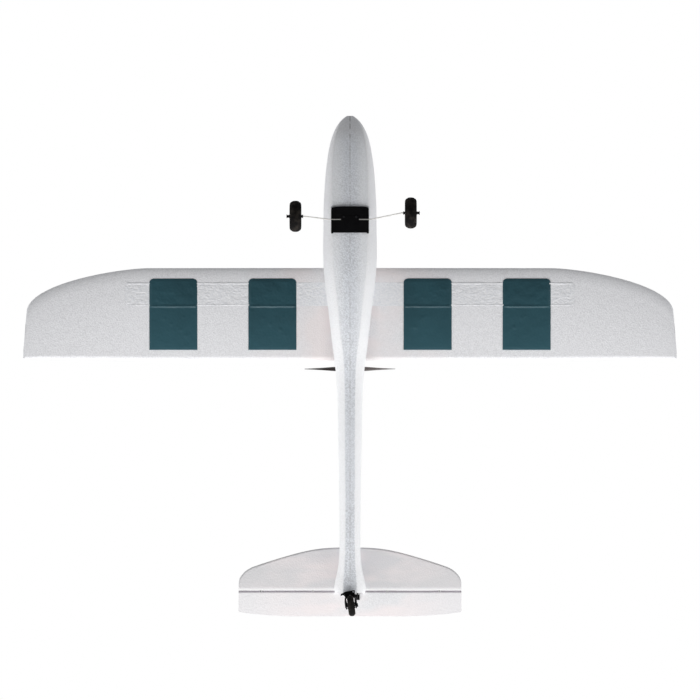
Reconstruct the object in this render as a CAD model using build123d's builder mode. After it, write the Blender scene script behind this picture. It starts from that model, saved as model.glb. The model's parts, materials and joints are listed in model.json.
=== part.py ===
from build123d import *
import math
import os

# A 1.06 m foam pusher trainer, resting on its three wheels. Each piece is modelled in the airframe
# datum: X runs along the span with port at +X, Y is the station aft of the nose tip, and Z is the
# height above the pod's belly. STANCE then stands every piece on its wheels, nose towards -Y, with
# the origin under the middle of the whole aeroplane. All sizes are in millimetres.

os.makedirs("parts", exist_ok=True)

# Driving dimensions: wing
HALF_SPAN = 530.5
WING_LE = 247.0
CHORD = 150.0
WING_TE = WING_LE + CHORD
WING_Z = 72.0  # flat underside at the root
WING_THICK = 18.0
ROOT_X = 24.3  # half-width of the spine that the panels butt
DIHEDRAL = 5.0
TIP_START = 330.0  # where the leading edge begins to sweep back
TIP_SWEEP = 76.0
TIP_X = 524.0
TE_THICK = 2.0

# Tail
STAB_HALF = 180.5
STAB_LE = 700.0
STAB_Z = 72.0
STAB_THICK = 8.0
STAB_TE = 769.4
HINGE_Y = 774.0
TAIL_TE = 811.5
FIN_TOP = 196.0
THROW = 25.0  # degrees of elevator and rudder travel each way
ARM = 10.0  # radius of the servo arms and of the control horns

# Undercarriage
MAIN_Y, MAIN_Z, MAIN_R = 162.9, -55.0, 25.0
MAIN_WHEELS = {"left": (97.5, 160.2), "right": (-87.5, 165.6)}  # X and Y: the wire is bent unevenly
TYRE_WIDTH = 19.0
TAIL_WHEEL_Y, TAIL_WHEEL_Z, TAIL_WHEEL_R = 793.0, 23.0, 17.0
SWIVEL_Y = 777.6
CASTER_REST = -7.0  # degrees that the tail wheel stands swung round
WIRE_R = 1.0

# Power
THRUST_Z = 138.0
PROP_Y = 411.0
PROP_R = 76.0
PROP_REST = 15.0  # degrees that the stopped blades stand from horizontal
NACELLE_R = 18.0

WALL = 5.0
HATCH_START, HATCH_END, HATCH_Z = 36.0, 234.0, 60.0
PAD_Z = STAB_Z - STAB_THICK / 2
TAIL_END = 773.0
NOSE_Z = 42.0  # height of the nose tip
GAP = 0.3

# Stance: the two main wheels and the tail wheel stand on Z = 0
rise = TAIL_WHEEL_Z - MAIN_Z
run = TAIL_WHEEL_Y - MAIN_Y
PITCH = math.asin((TAIL_WHEEL_R - MAIN_R) / math.hypot(run, rise)) - math.atan2(rise, run)
GROUND = MAIN_Y * math.sin(PITCH) + MAIN_Z * math.cos(PITCH) - MAIN_R
FRONT = -NOSE_Z * math.sin(PITCH)
REAR = TAIL_TE * math.cos(PITCH) - FIN_TOP * math.sin(PITCH)
STANCE = Pos(0, -(FRONT + REAR) / 2, -GROUND) * Rot(math.degrees(PITCH), 0, 0)

# The hull's stations: Y, half-width, belly half-width, bottom, widest height, top
POD = [
    (1.5, 5.0, 3.0, 38.0, NOSE_Z, 46.5),
    (9.0, 14.0, 10.0, 28.5, 40.0, 54.0),
    (32.0, 27.7, 20.0, 15.0, 40.0, 67.0),
    (65.0, 35.7, 25.0, 7.0, 42.0, 80.0),
    (98.0, 39.6, 26.6, 3.0, 45.0, 88.0),
    (131.0, 41.8, 26.8, 0.8, 47.0, 93.0),
    (168.0, 42.9, 26.8, 0.0, 48.0, 96.0),
    (218.0, 43.5, 26.0, 0.0, 49.0, 97.0),
    (247.0, 42.7, 24.9, 1.0, 49.0, 95.0),
    (292.0, 38.1, 20.5, 5.0, 48.0, 88.0),
    (342.0, 31.9, 15.8, 13.0, 46.0, 74.0),
    (384.0, 26.8, 10.6, 21.8, 43.6, 62.0),
    (420.0, 22.6, 7.9, 28.2, 43.8, 58.6),
    (455.0, 20.3, 7.1, 31.4, 46.3, 60.2),
    (498.0, 19.4, 6.9, 33.7, 48.6, 63.0),
    (543.0, 18.6, 6.8, 36.0, 51.0, 65.8),
    (585.0, 17.8, 6.6, 38.1, 53.6, 68.1),
    (624.0, 17.2, 6.4, 40.0, 56.0, 70.3),
    (660.0, 16.8, 6.4, 41.6, 58.2, 72.8),
    (695.0, 16.8, 6.5, 43.2, 60.5, 75.0),
    (727.0, 18.6, 7.5, 45.0, 64.0, 76.0),
    (751.0, 23.2, 9.0, 45.8, 66.0, 76.0),
    (TAIL_END, 24.5, 9.8, 46.0, 66.0, 76.0),
]
BEVEL = 38.0  # degrees that the hull's lower sides rise from the belly's edge
EDGE_R = 4.0  # radius of the moulded edge between belly and side


def hull_section(y, half, belly, bottom, middle, top):
    """One closed cross-section of the hull: flat belly, rounded edge, rising bevel and domed top."""
    rise_dir = (math.cos(math.radians(BEVEL)), math.sin(math.radians(BEVEL)))
    radius = min(EDGE_R, 0.5 * belly)
    edge = (belly + radius * rise_dir[1], bottom + radius * (1 - rise_dir[0]))
    with BuildSketch(Plane.XZ.offset(-y)) as section:
        with BuildLine():
            Line((0, bottom), (belly, bottom))
            TangentArc((belly, bottom), edge, tangent=(1, 0))
            Spline(edge, (half, middle), tangents=(rise_dir, (0, 1)))
            Spline(
                (half, middle),
                (0, top),
                tangents=((0, 1), (-1, 0)),
                tangent_scalars=(1.15, 1.15),
            )
            mirror(about=Plane.YZ)
        make_face()
    return section.sketch


def hull(stations, mode=Mode.ADD):
    """Loft the hull through its stations."""
    loft([hull_section(*row) for row in stations], mode=mode)


def shrunk(row, inset, roof=200.0):
    """A station drawn in by inset all round, with its top no higher than roof."""
    y, half, belly, bottom, middle, top = row
    high = min(top - inset, roof)
    return (y, half - inset, max(belly - 0.5 * inset, 1.0), bottom + inset, min(middle, high - 4), high)


def write(piece, name, swing=Rot(0, 0, 0)):
    """Label a finished piece, swing it to its rest, stand it on its wheels and write its STEP file."""
    piece.part.label = name
    export_step(piece.part.moved(STANCE * swing), f"parts/{name}.step")


def block(x0, x1, y0, y1, z0, z1, mode=Mode.ADD):
    """A box between two corners."""
    with Locations(((x0 + x1) / 2, (y0 + y1) / 2, (z0 + z1) / 2)):
        Box(x1 - x0, y1 - y0, z1 - z0, mode=mode)


def rod(start, end, radius, mode=Mode.ADD):
    """A round bar from one point to another."""
    along = Vector(*end) - Vector(*start)
    with BuildSketch(Plane(origin=start, z_dir=along)) as end_face:
        Circle(radius)
    extrude(end_face.sketch, amount=along.length, mode=mode)


# ---------------------------------------------------------------- wing panels


def wing_sweep(x):
    """How far the leading edge stands behind the root's at a distance x from the middle."""
    part = max(0.0, (x - TIP_START) / (TIP_X - TIP_START))
    return TIP_SWEEP * (1 - math.sqrt(max(0.0, 1 - min(part, 1.0) ** 1.35)))


def wing_lift(x):
    """Height of the wing's flat underside."""
    return WING_Z + (x - ROOT_X) * math.tan(math.radians(DIHEDRAL))


def airfoil(x, chord, thick):
    """A flat-bottomed section in the plane at x, with its trailing edge on WING_TE."""
    nose = 0.25 * thick
    plane = Plane(origin=(x, WING_TE - chord, wing_lift(x)), x_dir=(0, 1, 0), z_dir=(1, 0, 0))
    with BuildSketch(plane) as section:
        with BuildLine():
            Spline(
                (0, nose),
                (0.1 * chord, 0),
                tangents=((0, -1), (1, 0)),
                tangent_scalars=(0.9, 1.2),
            )
            Line((0.1 * chord, 0), (chord, 0))
            Line((chord, 0), (chord, TE_THICK))
            Spline(
                (chord, TE_THICK),
                (0.66 * chord, 0.7 * thick),
                (0.3 * chord, thick),
                (0, nose),
                tangents=((-1, 0.2), (0, -1)),
            )
        make_face()
    return section.sketch


SPAR_Y = WING_LE + 42.0
SPAR_R = 3.0
SPAR_LIFT = 3.6  # height of the spar's centre over the wing's underside
SPAR_END = 352.0
COVER_FRONT, COVER_REAR, COVER_END = WING_LE + 23.5, WING_LE + 61.5, 365.0
COVER_THICK = 0.3
DECAL_FRONT, DECAL_REAR, DECAL_HALF, DECAL_THICK = WING_LE + 17.0, WING_TE - 17.0, 39.0, 0.2
UNDERSIDE = Plane(
    origin=(ROOT_X, 0, WING_Z),
    x_dir=(math.cos(math.radians(DIHEDRAL)), 0, math.sin(math.radians(DIHEDRAL))),
    z_dir=(-math.sin(math.radians(DIHEDRAL)), 0, math.cos(math.radians(DIHEDRAL))),
)


def slant(x):
    """Distance along the wing's underside from its root to the place over x."""
    return (x - ROOT_X) / math.cos(math.radians(DIHEDRAL))


def cover_outline():
    """The tape that covers the spar, with a rounded outer end."""
    with BuildSketch(UNDERSIDE) as outline:
        with Locations((slant(COVER_END) / 2, (COVER_FRONT + COVER_REAR) / 2)):
            Rectangle(slant(COVER_END), COVER_REAR - COVER_FRONT)
        fillet(outline.vertices().group_by(Axis.X)[-1], 6)
    return outline.sketch


def wing_section(x):
    """The wing's section at x, thinner as the chord falls towards the tip."""
    chord = CHORD - wing_sweep(x)
    return airfoil(x, chord, TE_THICK + (WING_THICK - TE_THICK) * (chord / CHORD) ** 0.8)


# Stations along the swept tip, closer together where the leading edge turns
TIP_STATIONS = [TIP_START + (TIP_X - TIP_START) * math.sin(math.pi * n / 24) for n in range(13)]

with BuildPart() as wing_left:
    loft([wing_section(x) for x in (ROOT_X, TIP_START)], ruled=True)
    loft([wing_section(x) for x in TIP_STATIONS] + [airfoil(HALF_SPAN, 14.0, 2 * TE_THICK)], ruled=True)
    with BuildSketch(UNDERSIDE):
        with Locations((slant(SPAR_END) / 2, SPAR_Y)):
            Rectangle(slant(SPAR_END), 2 * SPAR_R)
    extrude(amount=SPAR_LIFT + SPAR_R, mode=Mode.SUBTRACT)
    extrude(cover_outline(), amount=COVER_THICK, mode=Mode.SUBTRACT)
with BuildPart() as wing_right:
    add(mirror(wing_left.part, about=Plane.YZ))
write(wing_left, "wing_left")
write(wing_right, "wing_right")

# A carbon tube in each panel, under a strip of clear tape, set in a little from each end of its slot
SPAR_INSET = 1.0
spar_heading = Vector(math.cos(math.radians(DIHEDRAL)), 0, math.sin(math.radians(DIHEDRAL)))
spar_root = Vector(ROOT_X, SPAR_Y, WING_Z + SPAR_LIFT)
spar_length = slant(SPAR_END) - 2 * SPAR_INSET
with BuildPart() as wing_spars:
    with BuildSketch(Plane(origin=spar_root + spar_heading * SPAR_INSET, z_dir=spar_heading)):
        Circle(SPAR_R)
        Circle(SPAR_R - 1.0, mode=Mode.SUBTRACT)
    extrude(amount=spar_length)
    mirror(about=Plane.YZ)
write(wing_spars, "wing_spars")

with BuildPart() as spar_cover_left:
    extrude(cover_outline(), amount=COVER_THICK)
with BuildPart() as spar_cover_right:
    add(mirror(spar_cover_left.part, about=Plane.YZ))
write(spar_cover_left, "spar_cover_left")
write(spar_cover_right, "spar_cover_right")

# Coloured film on the underside: two panels on each wing
with BuildPart() as decals_left:
    with BuildSketch(UNDERSIDE) as films:
        with Locations(*[(slant(x), (DECAL_FRONT + DECAL_REAR) / 2) for x in (126.0, 287.0)]):
            Rectangle(2 * DECAL_HALF, DECAL_REAR - DECAL_FRONT)
        fillet(films.vertices().group_by(Axis.Y)[0], 7)
    extrude(amount=-DECAL_THICK)
with BuildPart() as decals_right:
    add(mirror(decals_left.part, about=Plane.YZ))
write(decals_left, "decals_left")
write(decals_right, "decals_right")

# The bent rod that joins the two spars through the fuselage
JOINER_R = 1.95
JOINER_REACH = 70.0
reach = spar_root + spar_heading * JOINER_REACH
middle_z = spar_root.Z - ROOT_X * math.tan(math.radians(DIHEDRAL))
with BuildPart() as wing_joiner:
    with BuildLine() as joiner_path:
        FilletPolyline(
            (-reach.X, SPAR_Y, reach.Z),
            (0, SPAR_Y, middle_z),
            (reach.X, SPAR_Y, reach.Z),
            radius=60,
        )
    with BuildSketch(Plane(origin=joiner_path.line @ 0, z_dir=joiner_path.line % 0)):
        Circle(JOINER_R)
    sweep()
write(wing_joiner, "wing_joiner")

# ---------------------------------------------------------------- fuselage

NACELLE_FRONT, NACELLE_REAR = 328.0, 402.0
MOTOR_BASE_Y = 371.0
PYLON_HALF = 9.0
SPINE_TOP = 98.0
BOOM_WALL = 3.2
TRAY_LOW = 9.6
SERVO_TRAY_LOW = 20.0
STRAP_Y = 139.0
BAY_ROOF_FRONT = 82.0  # ahead of the wing
BAY_ROOF = 66.0  # under the wing, where the bay stays below the panels' seats


def cavity(row):
    """The space inside the foam at one station: thick walls in the pod, thin ones in the boom."""
    if row[0] < 200:
        return shrunk(row, WALL)
    if row[0] < 240:
        return shrunk(row, WALL, roof=BAY_ROOF_FRONT)
    if row[0] < 390:
        return shrunk(row, WALL, roof=BAY_ROOF)
    return shrunk(row, BOOM_WALL)

with BuildPart() as outer:
    hull(POD)
    # The spine between the wing panels
    with BuildSketch(Plane.XZ.offset(-228)) as spine:
        with Locations((0, (HATCH_Z + SPINE_TOP) / 2)):
            Rectangle(2 * ROOT_X, SPINE_TOP - HATCH_Z)
        fillet(spine.vertices().group_by(Axis.Y)[-1], 7)
    extrude(amount=-(WING_TE + 1 - 228))
    # The pylon and the nacelle that carry the motor over it
    with BuildSketch(Plane.XY.offset(SPINE_TOP - 12)):
        with BuildLine():
            Spline(
                (0, 300.0),
                (PYLON_HALF, 345.0),
                (PYLON_HALF, 380.0),
                (0.4 * PYLON_HALF, WING_TE + 1),
                tangents=((1, 0), (-0.3, 1)),
            )
            Line((0.4 * PYLON_HALF, WING_TE + 1), (0, WING_TE + 1))
            mirror(about=Plane.YZ)
        make_face()
    extrude(amount=THRUST_Z - SPINE_TOP + 12)
    with BuildSketch(Plane.YZ) as nacelle:
        with BuildLine():
            Spline(
                (NACELLE_FRONT, THRUST_Z),
                (NACELLE_FRONT + 16, THRUST_Z + 0.8 * NACELLE_R),
                (NACELLE_FRONT + 42, THRUST_Z + NACELLE_R),
                tangents=((0, 1), (1, 0)),
            )
            Line((NACELLE_FRONT + 42, THRUST_Z + NACELLE_R), (NACELLE_REAR, THRUST_Z + NACELLE_R - 0.5))
            Line((NACELLE_REAR, THRUST_Z + NACELLE_R - 0.5), (NACELLE_REAR, THRUST_Z))
            Line((NACELLE_REAR, THRUST_Z), (NACELLE_FRONT, THRUST_Z))
        make_face()
    revolve(axis=Axis((0, 0, THRUST_Z), (0, 1, 0)))

# What each wing panel's seat removes: everything above the panel's underside
with BuildPart() as seats:
    for side_x in (ROOT_X, 70.0):
        with BuildSketch(Plane(origin=(side_x, 0, wing_lift(side_x)), x_dir=(0, 1, 0), z_dir=(1, 0, 0))):
            with BuildLine():
                Spline(
                    (WING_LE, 0.25 * WING_THICK),
                    (WING_LE + 0.1 * CHORD, 0),
                    tangents=((0, -1), (1, 0)),
                    tangent_scalars=(0.9, 1.2),
                )
                Polyline(
                    (WING_LE + 0.1 * CHORD, 0),
                    (WING_TE + 2, 0),
                    (WING_TE + 2, 60),
                    (WING_LE, 60),
                    (WING_LE, 0.25 * WING_THICK),
                )
            make_face()
    loft(ruled=True)
    mirror(about=Plane.YZ)

PLATE_HALF, PLATE_FRONT, PLATE_REAR = 30.5, 148.5, 191.0
PLATE_BED = 2.0

with BuildPart() as hull_foam:
    add(outer.part)
    # The opening under the canopy hatch
    block(-60, 60, HATCH_START - GAP, HATCH_END + GAP, HATCH_Z - GAP, 120, mode=Mode.SUBTRACT)
    # The bed of the undercarriage plate
    block(-PLATE_HALF, PLATE_HALF, PLATE_FRONT, PLATE_REAR, -5, PLATE_BED, mode=Mode.SUBTRACT)
    # The seat of the stabiliser, open to the rear
    block(-60, 60, STAB_LE - 1, TAIL_END + 5, PAD_Z, 90, mode=Mode.SUBTRACT)
    # The motor's recess in the nacelle, and the bore for the wing joiner
    rod((0, MOTOR_BASE_Y, THRUST_Z), (0, NACELLE_REAR + 1, THRUST_Z), 15.2, mode=Mode.SUBTRACT)
    rod((0, MOTOR_BASE_Y - 2.5, THRUST_Z), (0, MOTOR_BASE_Y, THRUST_Z), 11.0, mode=Mode.SUBTRACT)
    joiner_bore = [(x, SPAR_Y, middle_z + 1) for x in (-ROOT_X - 1, ROOT_X + 1)]
    rod(*joiner_bore, 3.2, mode=Mode.SUBTRACT)
    add(seats.part, mode=Mode.SUBTRACT)
    # The equipment bay and the hollow boom, open at the tail
    hull([cavity(row) for row in POD if row[0] >= 32.0], mode=Mode.SUBTRACT)
    # Rails under the battery tray and the servo tray
    for side in (1, -1):
        block(side * 12 - 2, side * 12 + 2, 90, 168, 4.6, TRAY_LOW)
        block(side * 15 - 2, side * 15 + 2, 236, 300, 6.6, SERVO_TRAY_LOW)
    block(-18, 18, STRAP_Y - 0.5, STRAP_Y + 14.5, TRAY_LOW - 1.2, TRAY_LOW + 0.1, mode=Mode.SUBTRACT)
    # The slot that the rudder's pushrod leaves by
    block(-13.5, -7.5, 622, 694, 58, 80, mode=Mode.SUBTRACT)

with BuildPart() as fuselage_left:
    add(hull_foam.part)
    split(bisect_by=Plane.YZ, keep=Keep.TOP)
with BuildPart() as fuselage_right:
    add(hull_foam.part)
    split(bisect_by=Plane.YZ, keep=Keep.BOTTOM)
write(fuselage_left, "fuselage_left")
write(fuselage_right, "fuselage_right")

# The lid over the equipment bay, hollow like the rest of the pod
with BuildPart() as lid_region:
    block(-60, 60, HATCH_START, HATCH_END, HATCH_Z, 120)
with BuildPart() as lid_space:
    hull([shrunk(row, WALL) for row in POD if 65.0 <= row[0] <= 218.0])
with BuildPart() as canopy_hatch:
    hull(POD)
    add(lid_region.part, mode=Mode.INTERSECT)
    add(lid_space.part, mode=Mode.SUBTRACT)
    for y in (HATCH_START + 22, HATCH_END - 8):
        rod((0, y, HATCH_Z + 6.8), (0, y, HATCH_Z + 10), 3.1, mode=Mode.SUBTRACT)

write(canopy_hatch, "canopy_hatch")

# Dark film on the hatch in place of a clear canopy
FILM = 0.3
with BuildPart() as film_region:
    with BuildSketch(Plane.XY.offset(72)) as window:
        with Locations((0, 118)):
            Rectangle(58, 96)
        fillet(window.vertices(), 16)
    extrude(amount=40)
with BuildPart() as canopy_glazing:
    hull([shrunk(row, -FILM) for row in POD if 32.0 <= row[0] <= 247.0])
    add(film_region.part, mode=Mode.INTERSECT)
    hull(POD, mode=Mode.SUBTRACT)
write(canopy_glazing, "canopy_glazing")

MAGNET_R = 3.0
with BuildPart() as hatch_magnets:
    for y in (HATCH_START + 22, HATCH_END - 8):
        rod((0, y, HATCH_Z + 7), (0, y, HATCH_Z + 10), MAGNET_R)
write(hatch_magnets, "hatch_magnets")

# ---------------------------------------------------------------- tail

EYE_R, EYE_WIDTH, PIN_R = 1.7, 2.6, 0.6
ELEVATOR_HINGES = (-145.0, -60.0, 60.0, 145.0)
RUDDER_HINGES = (96.0, 138.0, 180.0)
NOTCH = 3.3

with BuildPart() as stabiliser:
    with BuildSketch(Plane.XY.offset(PAD_Z)) as stab_outline:
        with BuildLine():
            Spline(
                (0, STAB_LE),
                (55, STAB_LE + 3),
                (104, STAB_LE + 14.5),
                (150, STAB_LE + 29),
                (168, STAB_LE + 37.5),
                (177, STAB_LE + 47),
                (STAB_HALF, STAB_LE + 62),
                tangents=((1, 0), (0, 1)),
            )
            Polyline((STAB_HALF, STAB_LE + 62), (STAB_HALF, STAB_TE), (0, STAB_TE))
            mirror(about=Plane.YZ)
        make_face()
    extrude(amount=STAB_THICK)
    rims = stabiliser.edges().filter_by(lambda edge: abs(edge.center().Z - STAB_Z) > 1)
    fillet(rims.filter_by(lambda edge: edge.center().Y < STAB_TE - 1), 2.5)
    for x in ELEVATOR_HINGES:
        rod((x, STAB_TE - 11, STAB_Z), (x, STAB_TE + 1, STAB_Z), 1.2, mode=Mode.SUBTRACT)
write(stabiliser, "stabiliser")


def tapered_surface():
    """Half-round nose about the hinge line, tapering to a thin trailing edge; drawn on (Y, height)."""
    half = STAB_THICK / 2
    with BuildSketch() as section:
        with Locations((HINGE_Y, 0)):
            Circle(half)
        with BuildLine():
            Polyline(
                (HINGE_Y, half),
                (TAIL_TE, 1.0),
                (TAIL_TE, -1.0),
                (HINGE_Y, -half),
                close=True,
            )
        make_face()
    return section.sketch


with BuildPart() as elevator:
    sideways = Plane(origin=(-STAB_HALF, 0, STAB_Z), x_dir=(0, 1, 0), z_dir=(1, 0, 0))
    extrude(sideways * tapered_surface(), amount=2 * STAB_HALF)
    # The trailing edge bows forward a little towards the tips
    with BuildSketch(Plane.XY.offset(STAB_Z - 10)) as elevator_outline:
        with BuildLine():
            Polyline((0, HINGE_Y - 6), (STAB_HALF, HINGE_Y - 6), (STAB_HALF, TAIL_TE - 7))
            Spline(
                (STAB_HALF, TAIL_TE - 7),
                (STAB_HALF - 28, TAIL_TE - 3.2),
                (0, TAIL_TE),
                tangents=((-5, 1), (-1, 0)),
            )
            mirror(about=Plane.YZ)
        make_face()
    extrude(amount=20, mode=Mode.INTERSECT)
    for x in ELEVATOR_HINGES:
        notch = (x - 1.7, x + 1.7, HINGE_Y - 6, HINGE_Y + 2.3, STAB_Z - NOTCH, STAB_Z + NOTCH)
        block(*notch, mode=Mode.SUBTRACT)
        rod((x - 5, HINGE_Y, STAB_Z), (x + 5, HINGE_Y, STAB_Z), PIN_R, mode=Mode.SUBTRACT)
write(elevator, "elevator")

with BuildPart() as elevator_hinge_eyes:
    for x in ELEVATOR_HINGES:
        rod((x - EYE_WIDTH / 2, HINGE_Y, STAB_Z), (x + EYE_WIDTH / 2, HINGE_Y, STAB_Z), EYE_R)
        rod((x, STAB_TE - 11, STAB_Z), (x, HINGE_Y, STAB_Z), 1.2)
        rod((x - 3, HINGE_Y, STAB_Z), (x + 3, HINGE_Y, STAB_Z), PIN_R + 0.05, mode=Mode.SUBTRACT)
with BuildPart() as elevator_hinge_pins:
    for x in ELEVATOR_HINGES:
        rod((x - 5, HINGE_Y, STAB_Z), (x + 5, HINGE_Y, STAB_Z), PIN_R)
write(elevator_hinge_eyes, "elevator_hinge_eyes")
write(elevator_hinge_pins, "elevator_hinge_pins")

FIN_FOOT = PAD_Z + STAB_THICK
FIN_LE = 706.0
FIN_TOP_LE = 744.0
with BuildPart() as vertical_fin:
    with BuildSketch(Plane.YZ.offset(-STAB_THICK / 2)):
        with BuildLine():
            Polyline(
                (FIN_LE, FIN_FOOT),
                (FIN_LE + 22, FIN_FOOT + 80),
                (FIN_TOP_LE, FIN_TOP - 6),
                (FIN_TOP_LE + 6, FIN_TOP),
                (STAB_TE, FIN_TOP),
                (STAB_TE, FIN_FOOT),
                close=True,
            )
        make_face()
    extrude(amount=STAB_THICK)
    front_edges = vertical_fin.edges().filter_by(lambda edge: edge.center().Y < FIN_TOP_LE + 4)
    fillet(front_edges.filter_by(lambda edge: edge.length > 6), 3.0)
    for z in RUDDER_HINGES:
        rod((0, STAB_TE - 11, z), (0, STAB_TE + 1, z), 1.2, mode=Mode.SUBTRACT)
write(vertical_fin, "vertical_fin")

RUDDER_FOOT = FIN_FOOT + 3.0
with BuildPart() as rudder:
    # The same section, with its chord along Y and its thickness along X
    upright = Plane(origin=(0, 0, RUDDER_FOOT), x_dir=(0, 1, 0), z_dir=(0, 0, 1))
    extrude(upright * tapered_surface(), amount=FIN_TOP - RUDDER_FOOT)
    # The foot rakes up so that it clears the raised elevator
    with BuildSketch(Plane.YZ.offset(-20)):
        with BuildLine():
            Polyline(
                (HINGE_Y - 6, RUDDER_FOOT),
                (HINGE_Y, RUDDER_FOOT),
                (TAIL_TE, RUDDER_FOOT + 0.56 * (TAIL_TE - HINGE_Y)),
                (TAIL_TE, FIN_TOP - 8),
                (TAIL_TE - 8, FIN_TOP),
                (HINGE_Y - 6, FIN_TOP),
                close=True,
            )
        make_face()
    extrude(amount=40, mode=Mode.INTERSECT)
    for z in RUDDER_HINGES:
        block(-NOTCH, NOTCH, HINGE_Y - 6, HINGE_Y + 2.3, z - 1.7, z + 1.7, mode=Mode.SUBTRACT)
        rod((0, HINGE_Y, z - 5), (0, HINGE_Y, z + 5), PIN_R, mode=Mode.SUBTRACT)
write(rudder, "rudder")

with BuildPart() as rudder_hinge_eyes:
    for z in RUDDER_HINGES:
        rod((0, HINGE_Y, z - EYE_WIDTH / 2), (0, HINGE_Y, z + EYE_WIDTH / 2), EYE_R)
        rod((0, STAB_TE - 11, z), (0, HINGE_Y, z), 1.2)
        rod((0, HINGE_Y, z - 3), (0, HINGE_Y, z + 3), PIN_R + 0.05, mode=Mode.SUBTRACT)
with BuildPart() as rudder_hinge_pins:
    for z in RUDDER_HINGES:
        rod((0, HINGE_Y, z - 5), (0, HINGE_Y, z + 5), PIN_R)
write(rudder_hinge_eyes, "rudder_hinge_eyes")
write(rudder_hinge_pins, "rudder_hinge_pins")

# Control horns: a base glued to the surface and a blade whose hole stands beside the hinge line
HORN_X = 12.0
HORN_HOLE = 1.0  # radius: the pushrod's bent end is loose in it
RUDDER_ROD_Z = 86.0
with BuildPart() as elevator_horn:
    block(HORN_X - 3.6, HORN_X + 3.6, HINGE_Y + 2.5, HINGE_Y + 11, STAB_Z - 5.6, STAB_Z)
    with BuildSketch(Plane.YZ.offset(HORN_X - 0.8)):
        with BuildLine():
            Polyline(
                (HINGE_Y + 10, STAB_Z - 3),
                (HINGE_Y + 10, STAB_Z - 6),
                (HINGE_Y + 2.2, STAB_Z - ARM - 2.4),
                (HINGE_Y - 2.2, STAB_Z - ARM - 2.0),
                (HINGE_Y - 2.4, STAB_Z - ARM + 1.6),
                (HINGE_Y + 3, STAB_Z - 3),
                close=True,
            )
        make_face()
    extrude(amount=1.6)
    add(elevator.part, mode=Mode.SUBTRACT)
    hole = (HINGE_Y, STAB_Z - ARM)
    rod((HORN_X - 2, *hole), (HORN_X + 2, *hole), HORN_HOLE, mode=Mode.SUBTRACT)
write(elevator_horn, "elevator_horn")

with BuildPart() as rudder_horn:
    block(-5.6, 0, HINGE_Y + 2.5, HINGE_Y + 11, RUDDER_ROD_Z - 1.6, RUDDER_ROD_Z + 5.6)
    with BuildSketch(Plane.XY.offset(RUDDER_ROD_Z - 0.8)):
        with BuildLine():
            Polyline(
                (-3, HINGE_Y + 10),
                (-6, HINGE_Y + 10),
                (-ARM - 2.4, HINGE_Y + 2.2),
                (-ARM - 2.0, HINGE_Y - 2.2),
                (-ARM + 1.6, HINGE_Y - 2.4),
                (-3, HINGE_Y + 3),
                close=True,
            )
        make_face()
    extrude(amount=1.6)
    add(rudder.part, mode=Mode.SUBTRACT)
    hole = (-ARM, HINGE_Y)
    rod((*hole, RUDDER_ROD_Z - 2), (*hole, RUDDER_ROD_Z + 2), HORN_HOLE, mode=Mode.SUBTRACT)
write(rudder_horn, "rudder_horn")

# ---------------------------------------------------------------- undercarriage

GROOVE_Y = 169.6
PLATE_FACE = -2.6
WIRE_Z = PLATE_FACE + WIRE_R + 0.3
CLAMP_HALF = 14.5
GROOVE_HALF = 1.15
SCREWS_X = (-10, 10)
SCREW_Y = GROOVE_Y - 4
SCREW_R = 1.1
with BuildPart() as gear_plate:
    with BuildSketch(Plane.XY.offset(PLATE_FACE)) as plate_outline:
        with BuildLine():
            ThreePointArc(
                (-PLATE_HALF, PLATE_FRONT + 1.5),
                (0, PLATE_FRONT),
                (PLATE_HALF, PLATE_FRONT + 1.5),
            )
            Polyline(
                (PLATE_HALF, PLATE_FRONT + 1.5),
                (PLATE_HALF, PLATE_REAR),
                (-PLATE_HALF, PLATE_REAR),
                (-PLATE_HALF, PLATE_FRONT + 1.5),
            )
        make_face()
        fillet(plate_outline.vertices().group_by(Axis.Y)[0], 4)
    extrude(amount=PLATE_BED - PLATE_FACE)
    fillet(gear_plate.faces().sort_by(Axis.Z)[0].edges(), 0.6)
    groove = (-40, 40, GROOVE_Y - GROOVE_HALF, GROOVE_Y + GROOVE_HALF, PLATE_FACE - 1, WIRE_Z + GROOVE_HALF)
    block(*groove, mode=Mode.SUBTRACT)
    clamp_bed = (-CLAMP_HALF, CLAMP_HALF, GROOVE_Y - 6, GROOVE_Y + 6, PLATE_FACE - 1, PLATE_FACE + 0.6)
    block(*clamp_bed, mode=Mode.SUBTRACT)
    for x in SCREWS_X:
        rod((x, SCREW_Y, PLATE_FACE - 1), (x, SCREW_Y, PLATE_BED + 1), SCREW_R, mode=Mode.SUBTRACT)
write(gear_plate, "gear_plate")

with BuildPart() as gear_clamp:
    block(-CLAMP_HALF, CLAMP_HALF, GROOVE_Y - 6, GROOVE_Y + 6, PLATE_FACE - 0.6, PLATE_FACE + 0.3)
    for x in SCREWS_X:
        rod((x, SCREW_Y, PLATE_FACE - 1), (x, SCREW_Y, PLATE_BED + 1), SCREW_R, mode=Mode.SUBTRACT)
write(gear_clamp, "gear_clamp")

with BuildPart() as gear_screws:
    for x in SCREWS_X:
        rod((x, SCREW_Y, PLATE_FACE - 1.6), (x, SCREW_Y, PLATE_FACE - 0.6), 2.0)
        rod((x, SCREW_Y, PLATE_FACE - 0.6), (x, SCREW_Y, PLATE_BED), SCREW_R)
write(gear_screws, "gear_screws")

AXLE_HALF = TYRE_WIDTH / 2 + 5.0  # the wire's straight end reaches this far each side of a wheel's middle


def main_centre(name):
    """The middle of a main wheel, at the height where its tyre touches the ground."""
    x, y = MAIN_WHEELS[name]
    return Vector(x, y, MAIN_Z - (y - MAIN_Y) * math.tan(PITCH))


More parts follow.
